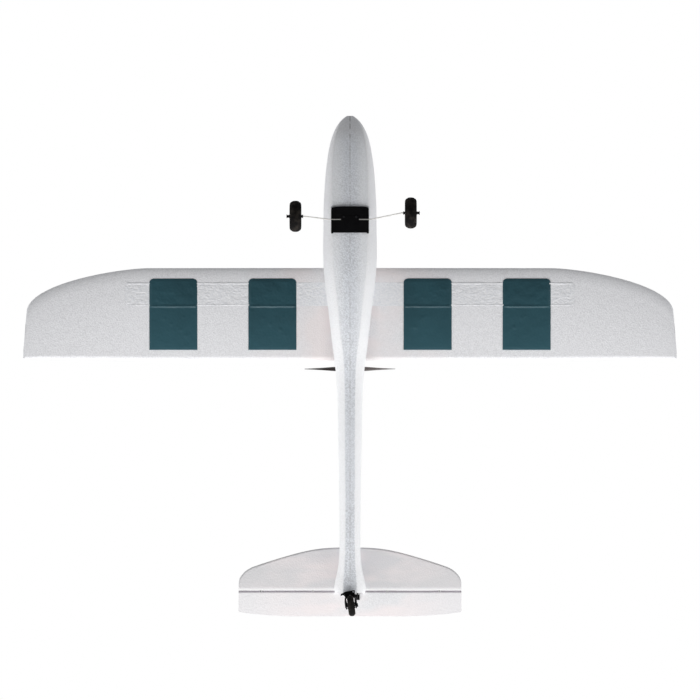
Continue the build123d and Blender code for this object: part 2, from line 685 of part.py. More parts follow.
port, starboard = main_centre("left"), main_centre("right")
wire_points = [
    starboard - Vector(AXLE_HALF, 0, 0),
    starboard + Vector(AXLE_HALF, 0, 0),
    (-PLATE_HALF - 3, GROOVE_Y, WIRE_Z),
    (PLATE_HALF + 3, GROOVE_Y, WIRE_Z),
    port - Vector(AXLE_HALF, 0, 0),
    port + Vector(AXLE_HALF, 0, 0),
]
with BuildPart() as gear_wire:
    with BuildLine() as wire_path:
        FilletPolyline(*wire_points, radius=4)
    with BuildSketch(Plane(origin=wire_path.line @ 0, z_dir=wire_path.line % 0)):
        Circle(WIRE_R)
    sweep()
write(gear_wire, "gear_wire")


def tyre(x, y, z, radius, width, hub_radius):
    """A round-crowned foam tyre about an axle along X."""
    with BuildSketch(Plane(origin=(x, y, z), x_dir=(1, 0, 0), z_dir=(0, 0, 1))) as section:
        half = width / 2
        with BuildLine():
            for side in (-1, 1):
                Polyline(
                    (0, hub_radius),
                    (side * (half - 1.5), hub_radius),
                    (side * (half - 1.5), 0.42 * radius),
                    (side * half, 0.62 * radius),
                )
                Spline(
                    (side * half, 0.62 * radius),
                    (side * 0.74 * half, 0.92 * radius),
                    (0, radius),
                    tangents=((0, 1), (-side, 0)),
                )
        make_face()
    revolve(section.sketch, axis=Axis((0, y, z), (1, 0, 0)))


def hub(x, y, z, radius, width, bore):
    """The hub inside a tyre, with a bore for its axle."""
    with BuildSketch(Plane(origin=(x - width / 2, y, z), z_dir=(1, 0, 0))) as disc:
        Circle(radius)
        Circle(bore, mode=Mode.SUBTRACT)
    extrude(disc.sketch, amount=width)


HUB_R = 6.5
for name in MAIN_WHEELS:
    with BuildPart() as main_tyre:
        tyre(*main_centre(name), MAIN_R, TYRE_WIDTH, HUB_R)
    with BuildPart() as main_hub:
        hub(*main_centre(name), HUB_R, TYRE_WIDTH - 2, WIRE_R + 0.06)
    write(main_tyre, f"{name}_tyre")
    write(main_hub, f"{name}_hub")


def collar(centre, near, far):
    """A waisted push-on collar between two distances along the axle from the wheel's middle."""
    with BuildSketch(Plane(origin=centre, x_dir=(1, 0, 0), z_dir=(0, 0, 1))) as section:
        with BuildLine():
            Polyline(
                (near, WIRE_R),
                (near, 2.9),
                (0.4 * near + 0.6 * far, 1.9),
                (far, 3.4),
                (far, WIRE_R),
                close=True,
            )
        make_face()
    revolve(section.sketch, axis=Axis(centre, (1, 0, 0)))


with BuildPart() as wheel_collars:
    for centre, side in ((port, 1), (starboard, -1)):
        collar(centre, side * (TYRE_WIDTH / 2 - 0.6), side * (AXLE_HALF - 0.3))
        collar(centre, side * (0.6 - TYRE_WIDTH / 2), side * (-TYRE_WIDTH / 2 - 2.6))
write(wheel_collars, "wheel_collars")

# Tail wheel: a caster that swivels under the open end of the boom. It is drawn trailing straight aft,
# and its pieces are then swung to the angle that it stands at.
caster = Pos(0, SWIVEL_Y, 0) * Rot(0, 0, CASTER_REST) * Pos(0, -SWIVEL_Y, 0)
FLOOR_END = 49.4  # inside of the boom's floor at its open end
FORK_TOP = 41.0
FORK_IN, FORK_OUT = 6.6, 8.4
with BuildPart() as tailwheel_bracket:
    block(-7, 7, 748, SWIVEL_Y + 1, FLOOR_END, FLOOR_END + 2)
    rod((0, SWIVEL_Y, FORK_TOP + 0.3), (0, SWIVEL_Y, FLOOR_END + 2), 4.2)
    rod((0, SWIVEL_Y, FORK_TOP - 1), (0, SWIVEL_Y, FLOOR_END + 3), 1.55, mode=Mode.SUBTRACT)
write(tailwheel_bracket, "tailwheel_bracket")

with BuildPart() as tailwheel_pin:
    rod((0, SWIVEL_Y, FORK_TOP - 3.2), (0, SWIVEL_Y, FLOOR_END + 3.4), 1.5)
    rod((0, SWIVEL_Y, FLOOR_END + 2.1), (0, SWIVEL_Y, FLOOR_END + 3.4), 2.6)
write(tailwheel_pin, "tailwheel_pin")

AXLE_R = 1.2
with BuildPart() as tailwheel_fork:
    # The crown under the pin, with a drilled steering ear to port and a swept-back arm to starboard
    with BuildSketch(Plane.XY.offset(FORK_TOP - 2.4)):
        with BuildLine():
            Polyline(
                (FORK_OUT, SWIVEL_Y + 4),
                (FORK_OUT, SWIVEL_Y - 8.5),
                (-6, SWIVEL_Y - 8.0),
                (-14, SWIVEL_Y - 5.0),
                (-15.5, SWIVEL_Y - 1.4),
                (-11, SWIVEL_Y - 3.0),
                (-FORK_OUT, SWIVEL_Y),
                (-FORK_OUT, SWIVEL_Y + 4),
                close=True,
            )
        make_face()
    extrude(amount=2.4)
    for side in (1, -1):
        with BuildSketch(Plane.YZ.offset(side * (FORK_IN + FORK_OUT) / 2)):
            with BuildLine():
                Polyline(
                    (SWIVEL_Y - 6, FORK_TOP),
                    (TAIL_WHEEL_Y - 4.5, TAIL_WHEEL_Z - 2.5),
                    (TAIL_WHEEL_Y, TAIL_WHEEL_Z - 4.5),
                    (TAIL_WHEEL_Y + 4.5, TAIL_WHEEL_Z),
                    (SWIVEL_Y + 4, FORK_TOP),
                    close=True,
                )
            make_face()
        extrude(amount=(FORK_OUT - FORK_IN) / 2, both=True)
    rod((0, SWIVEL_Y, FORK_TOP - 5), (0, SWIVEL_Y, FORK_TOP + 1), 1.5, mode=Mode.SUBTRACT)
    rod((5.9, SWIVEL_Y - 6, FORK_TOP - 5), (5.9, SWIVEL_Y - 6, FORK_TOP + 1), 1.0, mode=Mode.SUBTRACT)
    rod((-12, TAIL_WHEEL_Y, TAIL_WHEEL_Z), (12, TAIL_WHEEL_Y, TAIL_WHEEL_Z), AXLE_R, mode=Mode.SUBTRACT)
write(tailwheel_fork, "tailwheel_fork", caster)

with BuildPart() as tailwheel_axle:
    rod((-FORK_OUT, TAIL_WHEEL_Y, TAIL_WHEEL_Z), (FORK_OUT, TAIL_WHEEL_Y, TAIL_WHEEL_Z), AXLE_R)
    rod((-FORK_OUT, TAIL_WHEEL_Y, TAIL_WHEEL_Z), (-FORK_OUT - 1.6, TAIL_WHEEL_Y, TAIL_WHEEL_Z), 2.3)
    with BuildSketch(Plane(origin=(FORK_OUT, TAIL_WHEEL_Y, TAIL_WHEEL_Z), z_dir=(1, 0, 0))):
        RegularPolygon(3.2, 6)
    extrude(amount=2.8)
write(tailwheel_axle, "tailwheel_axle", caster)

with BuildPart() as tail_tyre:
    tyre(0, TAIL_WHEEL_Y, TAIL_WHEEL_Z, TAIL_WHEEL_R, 11.0, 5.0)
with BuildPart() as tail_hub:
    hub(0, TAIL_WHEEL_Y, TAIL_WHEEL_Z, 5.0, 12.4, AXLE_R + 0.06)
write(tail_tyre, "tail_tyre", caster)
write(tail_hub, "tail_hub", caster)

# ---------------------------------------------------------------- power

with BuildPart() as motor_mount:
    rod((0, MOTOR_BASE_Y, THRUST_Z), (0, MOTOR_BASE_Y + 2, THRUST_Z), 13.5)
    rod((0, MOTOR_BASE_Y - 1, THRUST_Z), (0, MOTOR_BASE_Y + 3, THRUST_Z), 3.0, mode=Mode.SUBTRACT)
write(motor_mount, "motor_mount")

STATOR_Y0, STATOR_Y1 = MOTOR_BASE_Y + 2.0, MOTOR_BASE_Y + 25.0
SHAFT_R = 1.6
with BuildPart() as motor_stator:
    rod((0, STATOR_Y0, THRUST_Z), (0, STATOR_Y0 + 3, THRUST_Z), 13.4)
    rod((0, STATOR_Y0, THRUST_Z), (0, STATOR_Y1 - 5, THRUST_Z), 4.0)
    rod((0, STATOR_Y0 + 5, THRUST_Z), (0, STATOR_Y1 - 6, THRUST_Z), 10.8)
    rod((0, STATOR_Y0 - 1, THRUST_Z), (0, STATOR_Y1, THRUST_Z), SHAFT_R + 0.06, mode=Mode.SUBTRACT)
write(motor_stator, "motor_stator")

with BuildPart() as motor_bell:
    rod((0, STATOR_Y0 + 4, THRUST_Z), (0, STATOR_Y1, THRUST_Z), 13.4)
    rod((0, STATOR_Y0 + 3, THRUST_Z), (0, STATOR_Y1 - 2.5, THRUST_Z), 11.4, mode=Mode.SUBTRACT)
    rod((0, STATOR_Y0 + 1, THRUST_Z), (0, STATOR_Y1 + 9, THRUST_Z), SHAFT_R)
    for turn in range(6):
        x = 7.2 * math.cos(math.radians(60 * turn))
        z = THRUST_Z + 7.2 * math.sin(math.radians(60 * turn))
        rod((x, STATOR_Y1 - 3, z), (x, STATOR_Y1 + 1, z), 2.1, mode=Mode.SUBTRACT)
write(motor_bell, "motor_bell")

HUB_HALF = 4.0
ADAPTER_R = 2.9
with BuildPart() as prop_adapter:
    rod((0, STATOR_Y1 + 0.3, THRUST_Z), (0, PROP_Y - HUB_HALF, THRUST_Z), 5.5)
    rod((0, STATOR_Y1 + 0.3, THRUST_Z), (0, PROP_Y + HUB_HALF + 9, THRUST_Z), ADAPTER_R)
    rod((0, STATOR_Y1, THRUST_Z), (0, STATOR_Y1 + 9, THRUST_Z), SHAFT_R, mode=Mode.SUBTRACT)
write(prop_adapter, "prop_adapter")

with BuildPart() as prop_nut:
    with BuildSketch(Plane(origin=(0, PROP_Y + HUB_HALF, THRUST_Z), x_dir=(0, 1, 0), z_dir=(1, 0, 0))):
        with BuildLine():
            Polyline((0, 0), (0, 6.0), (3.0, 6.0))
            Spline((3.0, 6.0), (11.0, 3.4), (14.0, 0), tangents=((1, 0), (0, -1)))
            Line((14.0, 0), (0, 0))
        make_face()
    revolve(axis=Axis((0, 0, THRUST_Z), (0, 1, 0)))
    rod((0, PROP_Y, THRUST_Z), (0, PROP_Y + HUB_HALF + 9, THRUST_Z), ADAPTER_R, mode=Mode.SUBTRACT)
write(prop_nut, "prop_nut")

# Blade sections: radius, chord, thickness, angle from the plane of rotation
BLADE = [
    (4.0, 8.5, 5.2, 47.0),
    (14.0, 12.0, 3.8, 43.0),
    (30.0, 15.0, 2.4, 25.0),
    (48.0, 13.5, 1.7, 16.0),
    (64.0, 10.5, 1.2, 10.0),
    (PROP_R, 5.0, 0.8, 8.0),
]


def blade_section(radius, chord, thick, angle):
    """A lens-shaped blade section at its radius, before the blade is turned to its rest angle."""
    slope = math.radians(angle)
    across = (0, math.sin(slope), math.cos(slope))
    with BuildSketch(Plane(origin=(radius, PROP_Y, THRUST_Z), x_dir=across, z_dir=(1, 0, 0))) as section:
        with BuildLine():
            ThreePointArc((-chord / 2, 0), (0, 0.65 * thick), (chord / 2, 0))
            ThreePointArc((chord / 2, 0), (0, -0.35 * thick), (-chord / 2, 0))
        make_face()
    return section.sketch


with BuildPart() as blade:
    loft([blade_section(*row) for row in BLADE], ruled=True)
with BuildPart() as propeller:
    rod((0, PROP_Y - HUB_HALF, THRUST_Z), (0, PROP_Y + HUB_HALF, THRUST_Z), 6.5)
    for angle in (-PROP_REST, 180 - PROP_REST):
        add(Pos(0, 0, THRUST_Z) * Rot(0, angle, 0) * Pos(0, 0, -THRUST_Z) * blade.part)
    rod((0, PROP_Y - 9, THRUST_Z), (0, PROP_Y + 9, THRUST_Z), ADAPTER_R, mode=Mode.SUBTRACT)
write(propeller, "propeller")

with BuildPart() as motor_screws:
    for angle in (45, 135, 225, 315):
        x = 8.5 * math.cos(math.radians(angle))
        z = THRUST_Z + 8.5 * math.sin(math.radians(angle))
        rod((x, MOTOR_BASE_Y - 2.2, z), (x, MOTOR_BASE_Y, z), 2.0)
write(motor_screws, "motor_screws")

# ---------------------------------------------------------------- equipment

SLOT_X = 16.5
with BuildPart() as battery_tray:
    block(-19, 19, 86, 170, TRAY_LOW, TRAY_LOW + 2)
    for y in (105, STRAP_Y + 7):
        for x in (-SLOT_X, SLOT_X):
            block(x - 1.2, x + 1.2, y - 8, y + 8, 9, 12, mode=Mode.SUBTRACT)
write(battery_tray, "battery_tray")

PACK_TOP = 29.6
with BuildPart() as battery:
    block(-15, 15, 92, 164, TRAY_LOW + 2.2, PACK_TOP)
    fillet(battery.edges().filter_by(Axis.Y), 3)
write(battery, "battery")

with BuildPart() as battery_strap:
    block(-17, 17, STRAP_Y, STRAP_Y + 14, TRAY_LOW - 0.8, PACK_TOP + 1.2)
    fillet(battery_strap.edges().filter_by(Axis.Y), 1.6)
    block(-16, 16, STRAP_Y - 1, STRAP_Y + 15, TRAY_LOW - 0.05, PACK_TOP + 0.2, mode=Mode.SUBTRACT)
write(battery_strap, "battery_strap")

BAY_FLOOR = 5.4
with BuildPart() as receiver:
    block(-22.5, -4, 176, 214, BAY_FLOOR, BAY_FLOOR + 12)
    fillet(receiver.edges().filter_by(Axis.Y), 1.5)
    for n in range(5):
        x = -20.5 + 3 * n
        block(x, x + 1.6, 212.5, 216, BAY_FLOOR + 2, BAY_FLOOR + 10, mode=Mode.SUBTRACT)
write(receiver, "receiver")

with BuildPart() as speed_controller:
    block(2, 22.5, 174, 216, BAY_FLOOR, BAY_FLOOR + 8)
    fillet(speed_controller.edges(), 1.2)
write(speed_controller, "speed_controller")

# Servos: the elevator's lies on its side with its shaft along X, the rudder's stands upright
ELEV_PIVOT = Vector(0, 246.0, 44.0)
RUD_PIVOT = Vector(-5.0, 280.0, 0)
ROD_R = 0.6
ELEV_ARM_X = 5.0
RUD_ARM_Z = 45.0
with BuildPart() as servo_tray:
    block(-19, 22, 228, 302, SERVO_TRAY_LOW, SERVO_TRAY_LOW + 2)
    with Locations((RUD_PIVOT.X, RUD_PIVOT.Y - 5.6, SERVO_TRAY_LOW)):
        Box(12.8, 24, 6, mode=Mode.SUBTRACT)
    # The cheek that the elevator servo's ears are screwed to
    block(20, 22, 222, 260, SERVO_TRAY_LOW, SERVO_TRAY_LOW + 32)
    with Locations((21, ELEV_PIVOT.Y - 5.6, ELEV_PIVOT.Z)):
        Box(4, 23.6, 12.4, mode=Mode.SUBTRACT)
write(servo_tray, "servo_tray")

with BuildPart() as elevator_servo:
    block(8.2, 31, ELEV_PIVOT.Y - 17.2, ELEV_PIVOT.Y + 6, ELEV_PIVOT.Z - 6, ELEV_PIVOT.Z + 6)
    block(18.0, 20.0, ELEV_PIVOT.Y - 22, ELEV_PIVOT.Y + 10.8, ELEV_PIVOT.Z - 6, ELEV_PIVOT.Z + 6)
    rod((8.2, ELEV_PIVOT.Y, ELEV_PIVOT.Z), (7.2, ELEV_PIVOT.Y, ELEV_PIVOT.Z), 5.6)
    rod((4, ELEV_PIVOT.Y, ELEV_PIVOT.Z), (10, ELEV_PIVOT.Y, ELEV_PIVOT.Z), 2.05, mode=Mode.SUBTRACT)
    for y in (ELEV_PIVOT.Y - 19.6, ELEV_PIVOT.Y + 8.4):
        rod((17, y, ELEV_PIVOT.Z), (21, y, ELEV_PIVOT.Z), 1.0, mode=Mode.SUBTRACT)
write(elevator_servo, "elevator_servo")

SERVO_TOP = 42.0
with BuildPart() as rudder_servo:
    block(-11, 1, RUD_PIVOT.Y - 17.2, RUD_PIVOT.Y + 6, SERVO_TOP - 22.8, SERVO_TOP)
    block(-11, 1, RUD_PIVOT.Y - 22, RUD_PIVOT.Y + 10.8, SERVO_TOP - 20.0, SERVO_TOP - 18.0)
    shaft = (RUD_PIVOT.X, RUD_PIVOT.Y)
    rod((*shaft, SERVO_TOP), (*shaft, SERVO_TOP + 1), 5.6)
    rod((*shaft, SERVO_TOP - 2), (*shaft, SERVO_TOP + 2), 2.05, mode=Mode.SUBTRACT)
    for y in (RUD_PIVOT.Y - 19.6, RUD_PIVOT.Y + 8.4):
        rod((RUD_PIVOT.X, y, SERVO_TOP - 21), (RUD_PIVOT.X, y, SERVO_TOP - 17), 1.0, mode=Mode.SUBTRACT)
write(rudder_servo, "rudder_servo")

with BuildPart() as servo_screws:
    for y in (ELEV_PIVOT.Y - 19.6, ELEV_PIVOT.Y + 8.4):
        rod((16.8, y, ELEV_PIVOT.Z), (18.0, y, ELEV_PIVOT.Z), 1.8)
        rod((18.0, y, ELEV_PIVOT.Z), (20.0, y, ELEV_PIVOT.Z), 1.0)
    for y in (RUD_PIVOT.Y - 19.6, RUD_PIVOT.Y + 8.4):
        rod((RUD_PIVOT.X, y, SERVO_TOP - 18.0), (RUD_PIVOT.X, y, SERVO_TOP - 16.8), 1.8)
        rod((RUD_PIVOT.X, y, SERVO_TOP - 20.0), (RUD_PIVOT.X, y, SERVO_TOP - 18.0), 1.0)
write(servo_screws, "servo_screws")

# Each arm holds its hole at the radius of the surface's horn, on the same side of its pivot
with BuildPart() as elevator_servo_arm:
    rod((ELEV_ARM_X - 1.2, ELEV_PIVOT.Y, ELEV_PIVOT.Z), (7.0, ELEV_PIVOT.Y, ELEV_PIVOT.Z), 3.0)
    rod((6.8, ELEV_PIVOT.Y, ELEV_PIVOT.Z), (9.5, ELEV_PIVOT.Y, ELEV_PIVOT.Z), 2.0)
    with BuildSketch(Plane.YZ.offset(ELEV_ARM_X - 0.8)):
        with Locations((ELEV_PIVOT.Y, ELEV_PIVOT.Z - ARM / 2)):
            SlotCenterToCenter(ARM, 4.0, rotation=90)
    extrude(amount=1.6)
    hole = (ELEV_PIVOT.Y, ELEV_PIVOT.Z - ARM)
    rod((ELEV_ARM_X - 3, *hole), (ELEV_ARM_X + 3, *hole), ROD_R + 0.06, mode=Mode.SUBTRACT)
write(elevator_servo_arm, "elevator_servo_arm")

with BuildPart() as rudder_servo_arm:
    rod((RUD_PIVOT.X, RUD_PIVOT.Y, SERVO_TOP + 1.2), (RUD_PIVOT.X, RUD_PIVOT.Y, RUD_ARM_Z + 1.2), 3.0)
    rod((RUD_PIVOT.X, RUD_PIVOT.Y, SERVO_TOP - 1.5), (RUD_PIVOT.X, RUD_PIVOT.Y, SERVO_TOP + 1.4), 2.0)
    with BuildSketch(Plane.XY.offset(RUD_ARM_Z - 0.8)):
        with Locations((RUD_PIVOT.X - ARM / 2, RUD_PIVOT.Y)):
            SlotCenterToCenter(ARM, 4.0)
    extrude(amount=1.6)
    hole = (RUD_PIVOT.X - ARM, RUD_PIVOT.Y)
    rod((*hole, RUD_ARM_Z - 3), (*hole, RUD_ARM_Z + 3), ROD_R + 0.06, mode=Mode.SUBTRACT)
write(rudder_servo_arm, "rudder_servo_arm")


def pushrod(points):
    """A steel rod bent along its points, with a short crank at each end that hooks through a hole."""
    with BuildLine() as path:
        FilletPolyline(*points, radius=1.5)
    with BuildSketch(Plane(origin=path.line @ 0, z_dir=path.line % 0)) as section:
        Circle(ROD_R)
    sweep(section.sketch, path=path.line)


with BuildPart() as elevator_pushrod:
    pushrod([
        (ELEV_ARM_X + 1.6, ELEV_PIVOT.Y, ELEV_PIVOT.Z - ARM),
        (ELEV_ARM_X - 2.6, ELEV_PIVOT.Y, ELEV_PIVOT.Z - ARM),
        (HORN_X - 3.4, HINGE_Y, STAB_Z - ARM),
        (HORN_X + 2.0, HINGE_Y, STAB_Z - ARM),
    ])
write(elevator_pushrod, "elevator_pushrod")

with BuildPart() as rudder_pushrod:
    pushrod([
        (RUD_PIVOT.X - ARM, RUD_PIVOT.Y, RUD_ARM_Z - 1.6),
        (RUD_PIVOT.X - ARM, RUD_PIVOT.Y, RUD_ARM_Z + 2.6),
        (-12.2, 410.0, RUD_ARM_Z + 2.2),
        (-10.4, 625.0, 58.5),
        (-10.2, 698.0, RUDDER_ROD_Z - 3.4),
        (-ARM, HINGE_Y, RUDDER_ROD_Z - 3.4),
        (-ARM, HINGE_Y, RUDDER_ROD_Z + 2.0),
    ])
write(rudder_pushrod, "rudder_pushrod")
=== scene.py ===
import json
import math
import random

import bmesh
import bpy
from mathutils import Matrix, Vector, noise


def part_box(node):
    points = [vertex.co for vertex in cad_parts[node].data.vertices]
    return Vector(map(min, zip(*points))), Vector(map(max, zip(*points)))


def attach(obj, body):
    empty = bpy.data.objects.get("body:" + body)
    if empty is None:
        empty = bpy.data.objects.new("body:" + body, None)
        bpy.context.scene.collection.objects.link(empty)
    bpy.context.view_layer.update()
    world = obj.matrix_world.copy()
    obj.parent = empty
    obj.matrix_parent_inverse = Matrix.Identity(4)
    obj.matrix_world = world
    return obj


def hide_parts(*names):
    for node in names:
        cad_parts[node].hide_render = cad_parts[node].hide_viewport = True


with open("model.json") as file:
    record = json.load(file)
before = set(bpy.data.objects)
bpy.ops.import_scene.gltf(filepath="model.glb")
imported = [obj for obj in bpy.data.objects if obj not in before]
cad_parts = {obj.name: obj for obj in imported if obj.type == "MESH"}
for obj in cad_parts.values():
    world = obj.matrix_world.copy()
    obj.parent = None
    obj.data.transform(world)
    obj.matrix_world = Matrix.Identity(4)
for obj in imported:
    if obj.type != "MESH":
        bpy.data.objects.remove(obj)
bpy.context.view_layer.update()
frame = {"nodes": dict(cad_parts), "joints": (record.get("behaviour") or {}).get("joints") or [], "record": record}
nodes = frame["nodes"]
joints = {joint["name"]: joint for joint in frame["joints"]}
random.seed(7)

# The airframe's own axes: AFT along the propeller shaft, PORT along the span, and RISE upwards
AFT = Vector(joints["prop_spin"]["axis"]).normalized()
PORT = Vector((1, 0, 0))
RISE = PORT.cross(AFT).normalized()
HINGE = Vector(joints["elevator_hinge"]["pos_m"])
HINGE_STATION = 0.774  # metres from the nose tip to the elevator's hinge line, along AFT
HINGE_HEIGHT = 0.072  # metres from the belly up to the same line


def datum(x, station, height):
    """A point given by its place on the airframe: across, aft of the nose and above the belly."""
    return HINGE + PORT * x + AFT * (station - HINGE_STATION) + RISE * (height - HINGE_HEIGHT)


# ---------------------------------------------------------------- camera, light and floor

CAMERA_STATION = 0.380
CAMERA_DISTANCE = 12.0
LENS = 383.0


def add_camera():
    """Looks straight up at the belly, with the nose at the top of the picture."""
    data = bpy.data.cameras.new("camera")
    data.lens = LENS
    data.clip_end = 50
    camera = bpy.data.objects.new("camera", data)
    bpy.context.scene.collection.objects.link(camera)
    place = datum(0, CAMERA_STATION, -CAMERA_DISTANCE)
    turn = Matrix((PORT, -AFT, -RISE)).transposed()
    camera.matrix_world = Matrix.Translation(place) @ turn.to_4x4()
    bpy.context.scene.camera = camera


def add_world():
    """White to the eye; as a light, brightest just below the horizon and strongest aft."""
    world = bpy.data.worlds.new("studio")
    bpy.context.scene.world = world
    world.use_nodes = True
    tree = world.node_tree
    tree.nodes.clear()

    def along(direction):
        """How far each way of looking points along a direction, from -1 to 1."""
        node = tree.nodes.new("ShaderNodeVectorMath")
        node.operation = "DOT_PRODUCT"
        tree.links.new(coords.outputs["Generated"], node.inputs[0])
        node.inputs[1].default_value = direction
        return node.outputs["Value"]

    def span(value, low, high, out_low, out_high, smooth=True):
        """Maps a value from low..high to out_low..out_high."""
        node = tree.nodes.new("ShaderNodeMapRange")
        node.interpolation_type = "SMOOTHSTEP" if smooth else "LINEAR"
        node.inputs["From Min"].default_value = low
        node.inputs["From Max"].default_value = high
        node.inputs["To Min"].default_value = out_low
        node.inputs["To Max"].default_value = out_high
        tree.links.new(value, node.inputs["Value"])
        return node.outputs[0]

    def times(one, two):
        node = tree.nodes.new("ShaderNodeMath")
        node.operation = "MULTIPLY"
        tree.links.new(one, node.inputs[0])
        tree.links.new(two, node.inputs[1])
        return node.outputs[0]

    coords = tree.nodes.new("ShaderNodeTexCoord")
    out = tree.nodes.new("ShaderNodeOutputWorld")
    mix = tree.nodes.new("ShaderNodeMixShader")
    path = tree.nodes.new("ShaderNodeLightPath")
    light = tree.nodes.new("ShaderNodeBackground")
    light.inputs["Color"].default_value = (0.985, 0.99, 1.0, 1)
    backdrop = tree.nodes.new("ShaderNodeBackground")
    backdrop.inputs["Color"].default_value = (1, 1, 1, 1)
    height = along(RISE)
    band = times(span(height, -0.92, -0.15, 0.0, 1.78), span(height, -0.2, 0.3, 1.0, 0.3))
    strength = times(band, span(along(AFT), -1, 1, 0.3, 1.7, smooth=False))
    tree.links.new(strength, light.inputs["Strength"])
    tree.links.new(path.outputs["Is Camera Ray"], mix.inputs["Fac"])
    tree.links.new(light.outputs[0], mix.inputs[1])
    tree.links.new(backdrop.outputs[0], mix.inputs[2])
    tree.links.new(mix.outputs[0], out.inputs["Surface"])


def add_floor():
    """A pale floor that is solid from above and clear from below, where the main camera stands."""
    mesh = bpy.data.meshes.new("floor")
    size = 6.0
    corners = [(-size, -size, 0), (size, -size, 0), (size, size, 0), (-size, size, 0)]
    mesh.from_pydata(corners, [], [(0, 1, 2, 3)])
    floor = bpy.data.objects.new("floor", mesh)
    bpy.context.scene.collection.objects.link(floor)
    floor.visible_diffuse = False
    floor.visible_glossy = False
    floor.visible_shadow = False
    material = bpy.data.materials.new("pale_floor")
    material.use_nodes = True
    tree = material.node_tree
    tree.nodes.clear()
    out = tree.nodes.new("ShaderNodeOutputMaterial")
    mix = tree.nodes.new("ShaderNodeMixShader")
    side = tree.nodes.new("ShaderNodeNewGeometry")
    paint = tree.nodes.new("ShaderNodeBsdfDiffuse")
    paint.inputs["Color"].default_value = (0.86, 0.86, 0.86, 1)
    clear = tree.nodes.new("ShaderNodeBsdfTransparent")
    tree.links.new(side.outputs["Backfacing"], mix.inputs["Fac"])
    tree.links.new(paint.outputs[0], mix.inputs[1])
    tree.links.new(clear.outputs[0], mix.inputs[2])
    tree.links.new(mix.outputs[0], out.inputs["Surface"])
    mesh.materials.append(material)


def add_tail_lamp():
    """A large soft lamp low behind the tail, whose light fades towards the nose."""
    data = bpy.data.lights.new("tail_lamp", "AREA")
    data.shape = "DISK"
    data.size = 1.3
    data.energy = 10.0
    data.color = (1.0, 0.975, 0.965)
    lamp = bpy.data.objects.new("tail_lamp", data)
    bpy.context.scene.collection.objects.link(lamp)
    lamp.location = datum(0, 1.62, -0.58)
    lamp.rotation_euler = (datum(0, 0.5, 0.05) - lamp.location).to_track_quat("-Z", "Y").to_euler()


add_camera()
add_world()
add_tail_lamp()
add_floor()
bpy.context.scene.view_settings.view_transform = "Standard"

# ---------------------------------------------------------------- materials


